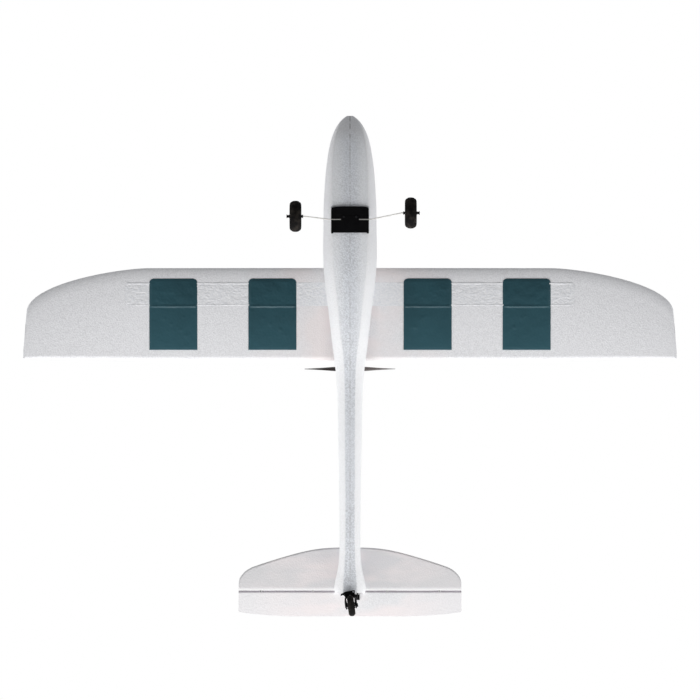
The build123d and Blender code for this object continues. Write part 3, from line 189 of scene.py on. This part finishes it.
class Paint:
    """A node material in the making: a Principled shader with small helpers for its textures."""

    def __init__(self, name, color, roughness, metallic=0.0):
        self.material = bpy.data.materials.new(name)
        self.material.use_nodes = True
        self.tree = self.material.node_tree
        self.shader = self.tree.nodes["Principled BSDF"]
        self.shader.inputs["Base Color"].default_value = (*color, 1)
        self.shader.inputs["Roughness"].default_value = roughness
        self.shader.inputs["Metallic"].default_value = metallic
        self.coords = self.tree.nodes.new("ShaderNodeTexCoord").outputs["Object"]
        self.normal = None

    def link(self, output, target):
        """Joins one node's output to another's input."""
        self.tree.links.new(output, target)

    def noise(self, scale, detail=3.0, rough=0.55, stretch=(1, 1, 1)):
        """Noise over the piece; scale is in lumps per metre."""
        place = self.tree.nodes.new("ShaderNodeMapping")
        place.inputs["Scale"].default_value = stretch
        self.link(self.coords, place.inputs["Vector"])
        texture = self.tree.nodes.new("ShaderNodeTexNoise")
        texture.inputs["Scale"].default_value = scale
        texture.inputs["Detail"].default_value = detail
        texture.inputs["Roughness"].default_value = rough
        self.link(place.outputs[0], texture.inputs["Vector"])
        return texture.outputs["Fac"]

    def cells(self, scale, smooth=0.0):
        """Packed round cells, with sharp borders or smooth ones; scale is in cells per metre."""
        texture = self.tree.nodes.new("ShaderNodeTexVoronoi")
        texture.inputs["Scale"].default_value = scale
        if smooth:
            texture.feature = "SMOOTH_F1"
            texture.inputs["Smoothness"].default_value = smooth
        self.link(self.coords, texture.inputs["Vector"])
        return texture.outputs["Distance"]

    def span(self, value, low, high, out_low=0.0, out_high=1.0):
        """Maps a value from low..high to out_low..out_high."""
        node = self.tree.nodes.new("ShaderNodeMapRange")
        node.inputs["From Min"].default_value = low
        node.inputs["From Max"].default_value = high
        node.inputs["To Min"].default_value = out_low
        node.inputs["To Max"].default_value = out_high
        self.link(value, node.inputs["Value"])
        return node.outputs[0]

    def band(self, value, low, high, core):
        """1 between two limits and 0 outside them; core is the share of the band that is solid."""
        return self.span(self.absolute(self.span(value, low, high, -1, 1)), core, 1.0, 1, 0)

    def times(self, one, two):
        """The product of two values."""
        node = self.tree.nodes.new("ShaderNodeMath")
        node.operation = "MULTIPLY"
        self.link(one, node.inputs[0])
        self.link(two, node.inputs[1])
        return node.outputs[0]

    def axis(self, name):
        """One coordinate of the piece, in metres."""
        node = self.tree.nodes.new("ShaderNodeSeparateXYZ")
        self.link(self.coords, node.inputs[0])
        return node.outputs[name]

    def blend(self, factor, one, two):
        """Mixes two colours, each a triple or an output, by factor."""
        node = self.tree.nodes.new("ShaderNodeMix")
        node.data_type = "RGBA"
        self.link(factor, node.inputs["Factor"])
        for socket, color in ((node.inputs[6], one), (node.inputs[7], two)):
            if isinstance(color, tuple):
                socket.default_value = (*color, 1)
            else:
                self.link(color, socket)
        return node.outputs[2]

    def absolute(self, value):
        """The size of a value, whatever its sign."""
        node = self.tree.nodes.new("ShaderNodeMath")
        node.operation = "ABSOLUTE"
        self.link(value, node.inputs[0])
        return node.outputs[0]

    def facing(self, direction):
        """How far the surface faces a direction, from -1 to 1."""
        side = self.tree.nodes.new("ShaderNodeNewGeometry")
        node = self.tree.nodes.new("ShaderNodeVectorMath")
        node.operation = "DOT_PRODUCT"
        self.link(side.outputs["Normal"], node.inputs[0])
        node.inputs[1].default_value = direction
        return node.outputs["Value"]

    def color(self, output):
        """Links an output to the shader's colour."""
        self.link(output, self.shader.inputs["Base Color"])

    def roughness(self, output):
        """Links an output to the shader's roughness."""
        self.link(output, self.shader.inputs["Roughness"])

    def bump(self, height, distance, strength):
        """Adds relief to what is there; distance is its depth in metres."""
        node = self.tree.nodes.new("ShaderNodeBump")
        node.inputs["Distance"].default_value = distance
        node.inputs["Strength"].default_value = strength
        self.link(height, node.inputs["Height"])
        if self.normal:
            self.link(self.normal, node.inputs["Normal"])
        self.normal = node.outputs[0]
        self.link(self.normal, self.shader.inputs["Normal"])


def shade(color, gain):
    """A colour made lighter or darker."""
    return tuple(min(1.0, channel * gain) for channel in color)


def foam(name, color, beads_per_metre, contrast, relief):
    """Moulded bead foam: flattened beads a few millimetres across, with finer pitting.

    Gives the paint and its tint, which the caller finishes and links to the colour.
    """
    paint = Paint(name, color, 0.72)
    beads = paint.cells(beads_per_metre, 0.3)
    mottle = paint.noise(170, 4)
    blotch = paint.noise(9, 2)
    light, dark = shade(color, 1 + 0.5 * contrast), shade(color, 1 - contrast)
    tint = paint.blend(paint.span(beads, 0.25, 0.8), light, dark)
    tint = paint.blend(paint.span(mottle, 0.35, 0.7, 0, 0.55), tint, dark)
    tint = paint.blend(paint.span(blotch, 0.42, 0.62, 0, 0.4), tint, shade(color, 0.985))
    paint.roughness(paint.span(mottle, 0.3, 0.7, 0.62, 0.82))
    paint.bump(beads, 0.0005, relief)
    paint.bump(paint.noise(900, 3), 0.00012, 0.6)
    return paint, tint


def wing_foam(name):
    """Fine white foam with a faint pink cast near the middle of the aeroplane."""
    paint, tint = foam(name, (0.90, 0.905, 0.925), 480, 0.12, 0.5)
    near = paint.span(paint.absolute(paint.axis("X")), 0.03, 0.17, 1.0, 0.0)
    cast = paint.times(near, paint.span(paint.noise(14, 2), 0.32, 0.6))
    paint.color(paint.blend(cast, tint, (0.93, 0.862, 0.855)))
    return paint.material


def tail_foam(name):
    """White foam with painted shade and light: greyer over the stabiliser and near the boom, with a painted
    highlight band and a painted shadow in the groove at the hinge.
    """
    paint, tint = foam(name, (0.835, 0.84, 0.855), 480, 0.09, 0.4)
    across = paint.absolute(paint.axis("X"))
    along = paint.axis("Y")
    # Painted shade: the stabiliser, ahead of the hinge, is greyer than the elevator.
    stabiliser_shade = paint.span(along, HINGE.y - 0.011, HINGE.y - 0.009, 0.6, 0.0)
    tint = paint.blend(stabiliser_shade, tint, (0.66, 0.655, 0.665))
    # Painted shade: greyer near the boom and further forward, lighter towards the tips and the hinge.
    inboard = paint.span(across, 0.01, 0.12, 1.0, 0.0)
    forward = paint.span(along, HINGE.y - 0.05, HINGE.y, 0.7, 0.0)
    tint = paint.blend(paint.times(inboard, forward), tint, (0.80, 0.79, 0.82))
    streaks = paint.span(paint.noise(22, 2, stretch=(0.4, 1, 1)), 0.42, 0.58, 0, 0.7)
    pink = paint.times(streaks, paint.span(across, 0.07, 0.16, 1.0, 0.2))
    tint = paint.blend(pink, tint, (0.93, 0.86, 0.86))
    # Painted highlight: a pale band along the stabiliser just ahead of the hinge.
    hinge_highlight = paint.band(along, HINGE.y - 0.0082, HINGE.y - 0.0045, 0.75)
    tint = paint.blend(hinge_highlight, tint, (1.0, 1.0, 1.0))
    # Painted shadow along the hinge groove, over the elevator's rounded nose.
    groove = paint.band(along, HINGE.y - 0.0046, HINGE.y - 0.0016, 0.8)
    paint.color(paint.blend(groove, tint, (0.52, 0.48, 0.53)))
    return paint.material


def pod_foam(name):
    """Coarser, cooler foam with painted light and shade: paler towards the belly's edges, greyer on the flanks at
    the front and whiter aft; with the glue line where the halves meet.
    """
    paint, tint = foam(name, (0.765, 0.792, 0.835), 400, 0.24, 0.9)
    across = paint.absolute(paint.axis("X"))
    along = paint.axis("Y")
    # Painted light: the belly paler towards its edges, where it rounds up into the sides.
    tint = paint.blend(paint.span(across, 0.006, 0.022, 0, 0.55), tint, (0.98, 0.99, 1.0))
    # Painted light and shade on faces turned away from straight down: greyer at the front, whiter aft.
    flank_shading = paint.blend(paint.span(along, -0.25, 0.0), (0.71, 0.705, 0.715), (1.0, 1.0, 1.0))
    flank = paint.span(paint.facing(RISE), -0.985, -0.9, 0, 0.6)
    tint = paint.blend(flank, tint, flank_shading)
    line = paint.span(across, 0.0002, 0.0012, 1.0, 0.0)
    gaps = paint.span(paint.noise(120, 2, stretch=(0.2, 1, 0.2)), 0.38, 0.55)
    fading = paint.span(along, -0.40, -0.34, 1.0, 0.45)
    seam = paint.times(paint.times(line, gaps), fading)
    paint.color(paint.blend(seam, tint, (0.30, 0.29, 0.30)))
    return paint.material


def moulded(name, color, roughness=0.4, grain=700, depth=0.00004, wear=1.25, shine=0.5):
    """Moulded plastic with a fine grain and slight wear in its colour."""
    paint = Paint(name, color, roughness)
    paint.shader.inputs["Specular IOR Level"].default_value = shine
    paint.color(paint.blend(paint.span(paint.noise(70, 4), 0.4, 0.75), color, shade(color, wear)))
    paint.roughness(paint.span(paint.noise(130, 3), 0.3, 0.7, roughness - 0.07, roughness + 0.1))
    paint.bump(paint.noise(grain, 3), depth, 0.6)
    return paint.material


def metal(name, color, roughness):
    """Turned metal with a fine grain."""
    paint = Paint(name, color, roughness, metallic=1.0)
    paint.color(paint.blend(paint.span(paint.noise(180, 3), 0.35, 0.7), color, shade(color, 0.82)))
    grain = paint.noise(900, 2)
    paint.roughness(paint.span(grain, 0.3, 0.7, roughness - 0.06, roughness + 0.12))
    paint.bump(grain, 0.00002, 0.5)
    return paint.material


def film(name, color):
    """Satin coloured film with small creases and a painted sheen: lighter towards its rear edge and in loose
    patches.
    """
    paint = Paint(name, color, 0.38)
    # Painted sheen: lighter towards the rear edge and in loose patches.
    aft = paint.span(paint.axis("Y"), -0.13, -0.02)
    painted_sheen = paint.blend(aft, shade(color, 0.85), shade(color, 1.3))
    sheen_patches = paint.span(paint.noise(14, 3), 0.35, 0.7, 0, 0.4)
    paint.color(paint.blend(sheen_patches, painted_sheen, shade(color, 1.5)))
    paint.bump(paint.noise(90, 4), 0.0004, 0.3)
    paint.bump(paint.cells(290, 0.5), 0.0002, 0.3)
    return paint.material


def tape(name):
    """Crinkled clear film over white foam, with painted shade following its creases."""
    paint = Paint(name, (0.80, 0.82, 0.845), 0.35)
    crease = paint.noise(330, 3, 0.6, stretch=(0.7, 1, 1))
    fold = paint.noise(60, 3)
    # Painted shade: the colour follows the crease relief, darker where the creases rise.
    paint.color(paint.blend(paint.span(crease, 0.38, 0.66), (0.92, 0.925, 0.94), (0.81, 0.825, 0.855)))
    paint.roughness(paint.span(fold, 0.3, 0.7, 0.3, 0.55))
    paint.bump(crease, 0.0014, 0.7)
    return paint.material


def tyre_foam(name):
    """Black closed-cell foam with brownish dust on its crown."""
    paint = Paint(name, (0.010, 0.009, 0.009), 0.8)
    paint.shader.inputs["Specular IOR Level"].default_value = 0.1
    dust = paint.span(paint.noise(110, 4), 0.45, 0.8)
    paint.color(paint.blend(dust, (0.004, 0.0035, 0.0035), (0.034, 0.029, 0.024)))
    paint.bump(paint.cells(900), 0.0002, 0.5)
    paint.bump(paint.noise(150, 3), 0.0003, 0.4)
    return paint.material


def plywood(name):
    """Thin birch plywood with straight grain."""
    paint = Paint(name, (0.56, 0.40, 0.24), 0.65)
    grain = paint.noise(60, 5, stretch=(9, 1, 9))
    paint.color(paint.blend(paint.span(grain, 0.35, 0.7), (0.64, 0.48, 0.30), (0.42, 0.28, 0.15)))
    paint.bump(grain, 0.00015, 0.5)
    return paint.material


def woven(name, color):
    """Hook-and-loop strap."""
    paint = Paint(name, color, 0.9)
    weave = paint.cells(1400)
    paint.color(paint.blend(weave, color, shade(color, 2.2)))
    paint.bump(weave, 0.0003, 0.8)
    return paint.material


SURFACES = {
    "white_foam": wing_foam("white_foam"),
    "teal_film": film("teal_film", (0.023, 0.073, 0.092)),
    "dark_film": film("dark_film", (0.02, 0.04, 0.05)),
    "clear_tape": tape("clear_tape"),
    "carbon": moulded("carbon", (0.02, 0.02, 0.022), 0.3, 1500),
    "black_plastic": moulded("black_plastic", (0.004, 0.004, 0.0045), 0.45, shine=0.08),
    "tyre_foam": tyre_foam("tyre_foam"),
    "spring_steel": moulded("spring_steel", (0.62, 0.61, 0.58), 0.4, 900, 0.00002, 1.1),
    "screw_steel": metal("screw_steel", (0.05, 0.05, 0.055), 0.45),
    "magnet_nickel": metal("magnet_nickel", (0.66, 0.64, 0.6), 0.2),
    "plywood": plywood("plywood"),
    "battery_wrap": moulded("battery_wrap", (0.03, 0.08, 0.22), 0.35, 400),
    "strap_fabric": woven("strap_fabric", (0.02, 0.02, 0.022)),
    "receiver_case": moulded("receiver_case", (0.03, 0.03, 0.034), 0.5),
    "heat_shrink": moulded("heat_shrink", (0.03, 0.04, 0.12), 0.28, 300),
    "servo_case": moulded("servo_case", (0.03, 0.11, 0.36), 0.3),
    "white_nylon": moulded("white_nylon", (0.76, 0.76, 0.73), 0.4, 700, 0.00003, 1.05),
    "motor_core": metal("motor_core", (0.40, 0.24, 0.13), 0.45),
    "motor_can": metal("motor_can", (0.12, 0.12, 0.13), 0.3),
    "prop_plastic": moulded("prop_plastic", (0.030, 0.019, 0.017), 0.3),
    "bare_aluminium": metal("bare_aluminium", (0.72, 0.73, 0.74), 0.28),
}
SLOT_OF = {row["node"]: row["material_slot"] for row in frame["record"]["subparts"]}
POD_FOAM = pod_foam("pod_foam")
TAIL_FOAM = tail_foam("tail_foam")


def dress(piece, material):
    """Gives a whole object one material."""
    piece.data.materials.clear()
    piece.data.materials.append(material)


for name, node in nodes.items():
    dress(node, SURFACES[SLOT_OF[name]])
for name in ("fuselage_left", "fuselage_right", "canopy_hatch"):
    dress(nodes[name], POD_FOAM)
for name in ("stabiliser", "elevator"):
    dress(nodes[name], TAIL_FOAM)

# ---------------------------------------------------------------- wings, films and tape

# Across: the root, where the curved tip starts, where its rim takes over, and the end
ROOT_X, TIP_START, TIP_X, HALF_SPAN = 0.0243, 0.330, 0.5265, 0.5315
WING_LE, WING_TE, WING_Z, WING_THICK = 0.247, 0.397, 0.072, 0.018
CHORD = WING_TE - WING_LE
EDGE_THICK = 0.002  # the blunt trailing edge
TIP_SWEEP = 0.073  # how far the leading edge runs back over the curved tip
RIM_SLOPE = 12.5  # how steeply it runs back along the rim
TIP_BOW = 0.003  # how far the trailing edge comes forward at the tip
DIHEDRAL = math.radians(5)
CAMBER = 0.0075  # how far the underside curls up towards the trailing edge


def along_tip(x):
    """How far along the curved tip a place is, from 0 where it starts to 1 at its rim."""
    return min(1.0, max(0.0, (x - TIP_START) / (TIP_X - TIP_START)))


def leading_edge(x):
    """The station of the wing's leading edge."""
    sweep = TIP_SWEEP * (1 - (1 - along_tip(x) ** 1.45) ** 0.47)
    return WING_LE + sweep + RIM_SLOPE * max(0.0, x - TIP_X)


def trailing_edge(x):
    """The station of the wing's trailing edge, which comes forward a little towards the tip."""
    return WING_TE - TIP_BOW * along_tip(x)


def underside(x, station):
    """The height of the wing's underside: rounded up at the front and curling up towards the rear."""
    flat = WING_Z + (x - ROOT_X) * math.tan(DIHEDRAL)
    share = (station - leading_edge(min(x, TIP_X))) / CHORD
    ahead = min(1.0, max(0.0, 1 - share / 0.15))
    front = 0.28 * WING_THICK * (1 - math.sqrt(1 - ahead * ahead))
    fade = min(1.0, (x - ROOT_X) / 0.05)
    return flat + front + fade * CAMBER * max(0.0, (share - 0.24) / 0.76) ** 1.6


def topside(x, station):
    """The height of the wing's upper skin."""
    lead = leading_edge(min(x, TIP_X))
    chord = WING_TE - lead
    share = min(1.0, max(0.0, (station - lead) / chord))
    thick = (WING_THICK - EDGE_THICK) * (chord / CHORD) ** 0.8
    bulge = 2.83 * math.sqrt(share) * (1 - share) ** 1.05 * (1 - 0.25 * share)
    return underside(x, station) + 0.9 * EDGE_THICK * share + thick * min(1.0, 0.97 * bulge)


def grid_mesh(name, rows, closed=False):
    """A smooth mesh through rows of points, all as long; closed joins each row's ends."""
    wide = len(rows[0])
    points = [point for row in rows for point in row]
    faces = []
    for r in range(len(rows) - 1):
        for c in range(wide if closed else wide - 1):
            after = (c + 1) % wide
            faces.append((r * wide + c, r * wide + after, (r + 1) * wide + after, (r + 1) * wide + c))
    mesh = bpy.data.meshes.new(name)
    mesh.from_pydata(points, [], faces)
    mesh.update()
    mesh.polygons.foreach_set("use_smooth", [True] * len(mesh.polygons))
    piece = bpy.data.objects.new(name, mesh)
    bpy.context.scene.collection.objects.link(piece)
    return piece


def outward(piece):
    """Makes every face look outwards."""
    work = bmesh.new()
    work.from_mesh(piece.data)
    bmesh.ops.remove_doubles(work, verts=work.verts, dist=0.00002)
    bmesh.ops.recalc_face_normals(work, faces=work.faces)
    work.to_mesh(piece.data)
    work.free()


def settle(piece, body, slot, stands_for=()):
    """Finishes a piece: its material, the body it rides on and the CAD nodes it stands for."""
    dress(piece, SURFACES[slot])
    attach(piece, body)
    if stands_for:
        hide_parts(*stands_for)


def wing_skin(side, node):
    """One foam panel, with a soft nose, a curled underside and a blunt trailing edge."""
    stations = [ROOT_X + (TIP_START - ROOT_X) * n / 12 for n in range(12)]
    stations += [TIP_START + (TIP_X - TIP_START) * math.sin(math.pi * n / 56) for n in range(28)]
    stations += [TIP_X, (TIP_X + HALF_SPAN) / 2, HALF_SPAN]
    rows = []
    for x in stations:
        lead, trail = leading_edge(x), trailing_edge(x)
        below = [lead + (n / 40) ** 2 * (trail - lead) for n in range(41)]
        row = [datum(side * x, y, underside(x, y)) for y in below]
        row += [datum(side * x, y, topside(x, y)) for y in reversed(below)]
        rows.append(row)
    piece = grid_mesh(node + "_skin", rows, closed=True)
    work = bmesh.new()
    work.from_mesh(piece.data)
    rim = [edge for edge in work.edges if edge.is_boundary]
    bmesh.ops.holes_fill(work, edges=rim, sides=0)
    work.to_mesh(piece.data)
    work.free()
    outward(piece)
    settle(piece, "root", "white_foam", [node])


TAPE_FRONT, TAPE_REAR, TAPE_START, TAPE_END = 0.2705, 0.3085, ROOT_X + 0.001, 0.365
TAPE_LONG, TAPE_WIDE = 209, 40  # cells along and across each strip of tape
FILM_FRONT, FILM_REAR, FILM_HALF = 0.264, 0.380, 0.039
FILM_MIDDLES = (0.126, 0.287)
FILM_LONG, FILM_WIDE = 100, 70  # cells along and across each film


def ripple(x, station, size, seed):
    """Uneven waves between -1 and 1, about size metres long."""
    return noise.noise(Vector((x / size, station / size, seed)))


def corner(distance, radius):
    """How far a rounded corner cuts into the width at a distance from the end."""
    inside = max(0.0, radius - distance)
    return radius - math.sqrt(max(0.0, radius * radius - inside * inside))


def tape_strip(side, node):
    """Crinkled clear film over the spar's slot, with a raised edge; it lies flatter near the root."""
    rows = []
    for r in range(TAPE_LONG + 1):
        x = TAPE_START + (TAPE_END - TAPE_START) * r / TAPE_LONG
        cut = corner(TAPE_END - x, 0.006)
        loose = min(1.0, (x - ROOT_X) / 0.16)
        row = []
        for c in range(TAPE_WIDE + 1):
            y = TAPE_FRONT + cut + (TAPE_REAR - TAPE_FRONT - 2 * cut) * c / TAPE_WIDE
            fine = abs(ripple(side * x, y, 0.0045, 2.0))
            crinkle = 0.0004 * (fine + ripple(side * x, y, 0.011, 5.0))
            near_edge = min(c, TAPE_WIDE - c) in (1, 2) or TAPE_LONG - r in (2, 3)
            rim = 0.0003 if near_edge else 0.0
            lift = 0.00015 + loose * (max(0.0, crinkle) + rim)
            row.append(datum(side * x, y, underside(x, y) - lift))
        rows.append(row)
    settle(grid_mesh(node + "_film", rows), "root", "clear_tape", [node])


def film_relief(side, middle, x, y, across, down, lumps):
    """How far a film dips or rises from flat: crinkled over the tape, smoother behind, with lumps."""
    wave = 0.00022 * ripple(side * x, y, 0.012, 9.0 + middle) + 0.0001 * ripple(x, y, 0.004, 3.0)
    if y < TAPE_REAR + 0.003:
        wave = 2.2 * wave - 0.0005
    if abs(y - TAPE_REAR) < 0.0013:
        wave -= 0.0006
    for lump_across, lump_down, strength in lumps:
        gap = math.hypot(across - lump_across, (down - lump_down) * 1.5) / 0.035
        wave -= 0.00045 * strength * math.exp(-gap * gap)
    return wave


def colour_films(side, node):
    """The wing's two dark panels: film with creases over the tape and a few small lumps behind it."""
    lumps = []
    for _ in range(5):
        lumps.append((random.uniform(0.2, 0.8), random.uniform(0.5, 0.85), random.uniform(0.5, 1)))
    for middle in FILM_MIDDLES:
        rows = []
        for r in range(FILM_LONG + 1):
            y = FILM_FRONT + (FILM_REAR - FILM_FRONT) * r / FILM_LONG
            cut = corner(y - FILM_FRONT, 0.007)
            row = []
            for c in range(FILM_WIDE + 1):
                x = middle + (FILM_HALF - cut) * (2 * c / FILM_WIDE - 1)
                wave = film_relief(side, middle, x, y, c / FILM_WIDE, r / FILM_LONG, lumps)
                inset = min(1.0, min(c, FILM_WIDE - c, r, FILM_LONG - r) / 4)
                row.append(datum(side * x, y, underside(x, y) - 0.00035 + inset * (wave - 0.0003)))
            rows.append(row)
        piece = grid_mesh(f"{node}_{round(middle * 1000)}", rows)
        settle(piece, "root", "teal_film", [node])
        thick = piece.modifiers.new("thickness", "SOLIDIFY")
        thick.thickness = 0.00018


for side, wing in ((1, "left"), (-1, "right")):
    wing_skin(side, f"wing_{wing}")
    tape_strip(side, f"spar_cover_{wing}")
    colour_films(side, f"decals_{wing}")

# ---------------------------------------------------------------- undercarriage plate


def slab(name, x, y, z):
    """A box with softened edges between three pairs of limits in the airframe's own axes."""
    corners = [datum(x[i], y[j], z[k]) for i in (0, 1) for j in (0, 1) for k in (0, 1)]
    faces = [(0, 1, 3, 2), (4, 6, 7, 5), (0, 4, 5, 1), (2, 3, 7, 6), (0, 2, 6, 4), (1, 5, 7, 3)]
    mesh = bpy.data.meshes.new(name)
    mesh.from_pydata(corners, [], faces)
    piece = bpy.data.objects.new(name, mesh)
    bpy.context.scene.collection.objects.link(piece)
    outward(piece)
    round_off = piece.modifiers.new("soft_edges", "BEVEL")
    round_off.width = 0.0004
    round_off.segments = 2
    return piece


PLATE_X, PLATE_FACE = 0.0305, -0.0026
PLATE_FRONT, PLATE_REAR = 0.1485, 0.191
GROOVE_FRONT, GROOVE_REAR = 0.1676, 0.1716  # the gap in the rails, where the wire crosses the plate
SUNK = PLATE_FACE + 0.0006  # how deep the added pieces reach into the plate


def gear_plate_rails():
    """Raised rails down both sides of the plate, lips at its rear corners and a panel ahead of the wire."""
    spans = ((PLATE_FRONT + 0.002, GROOVE_FRONT), (GROOVE_REAR, PLATE_REAR - 0.001))
    for side in (1, -1):
        rail_x = sorted((side * (PLATE_X - 0.0065), side * (PLATE_X - 0.0042)))
        for ends in spans:
            rail = slab("plate_rail", rail_x, ends, (PLATE_FACE - 0.0009, SUNK))
            settle(rail, "root", "black_plastic")
        lip_x = sorted((side * (PLATE_X - 0.0035), side * PLATE_X))
        lip = slab("plate_lip", lip_x, (PLATE_REAR - 0.001, PLATE_REAR + 0.0012), (PLATE_FACE, 0.001))
        settle(lip, "root", "black_plastic")
    panel_x = (-PLATE_X + 0.0075, PLATE_X - 0.0075)
    panel = slab("plate_panel", panel_x, (PLATE_FRONT + 0.003, 0.1625), (PLATE_FACE - 0.0003, SUNK))
    settle(panel, "root", "black_plastic")


gear_plate_rails()

# ---------------------------------------------------------------- wheels


LATHE_STEPS = 96


def lathe(name, centre, axle, profile):
    """A ring turned about an axle; the profile gives distances along the axle and radii."""
    axle = Vector(axle).normalized()
    out = axle.orthogonal().normalized()
    side = axle.cross(out)
    rows = []
    for n in range(LATHE_STEPS):
        angle = 2 * math.pi * n / LATHE_STEPS
        way = out * math.cos(angle) + side * math.sin(angle)
        rows.append([centre + axle * along + way * radius for along, radius in profile])
    rows.append(rows[0])
    piece = grid_mesh(name, rows, closed=True)
    outward(piece)
    return piece


def tyre_profile(radius, half, hub):
    """A soft round-shouldered tyre with a shallow line near each shoulder and a dished wall."""
    wall = [(-half + 0.0028, hub), (-half + 0.0022, 0.40 * radius), (-half + 0.0004, 0.56 * radius)]
    crown = []
    for n in range(33):
        turn = math.pi * n / 32
        along = -math.copysign(abs(math.cos(turn)) ** 0.85, math.cos(turn)) * half
        rise = 0.66 * radius + 0.34 * radius * math.sin(turn) ** 0.75
        groove = 0.0005 * math.exp(-(((abs(along) - 0.66 * half) / 0.0007) ** 2))
        crown.append((along, rise - groove))
    return wall + crown + [(-along, high) for along, high in reversed(wall)]


for name, joint, half, hub in (
    ("left", "left_wheel_spin", 0.0095, 0.0066),
    ("right", "right_wheel_spin", 0.0095, 0.0066),
    ("tail", "tailwheel_spin", 0.0055, 0.0051),
):
    node = f"{name}_tyre"
    low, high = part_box(node)
    centre = Vector(joints[joint]["pos_m"])
    profile = tyre_profile((high.z - low.z) / 2, half, hub)
    tyre = lathe(node + "_foam", centre, joints[joint]["axis"], profile)
    settle(tyre, f"{name}_wheel", "tyre_foam", [node])

CHEEK_OFFSET, CHEEK_THICK, CHEEK_TALL = 0.0081, 0.0020, 0.005  # the last two are half sizes
CHEEK_AHEAD, CHEEK_LONG = 0.013, 0.018
CHEEK_RISE, CHEEK_SLOPE = 0.003, 0.75


def fork_cheeks():
    """A thick cheek on each side of the tail wheel's fork, sloping down towards the axle."""
    wheel = Vector(joints["tailwheel_spin"]["pos_m"])
    axle = Vector(joints["tailwheel_spin"]["axis"]).normalized()
    trail = RISE.cross(axle).normalized()
    turns = [2 * math.pi * n / 16 for n in range(16)]
    for side in (1, -1):
        rows = []
        for n in range(9):
            reach = CHEEK_LONG * n / 8 - CHEEK_AHEAD
            thick = CHEEK_THICK * math.sin(math.pi * (0.12 + 0.76 * n / 8))
            height = CHEEK_RISE - CHEEK_SLOPE * reach
            middle = wheel + trail * reach + axle * side * CHEEK_OFFSET + RISE * height
            ring = [axle * thick * math.cos(turn) + RISE * CHEEK_TALL * math.sin(turn) for turn in turns]
            rows.append([middle + spoke for spoke in ring])
        settle(grid_mesh("fork_cheek", rows, closed=True), "tail_fork", "black_plastic")


fork_cheeks()
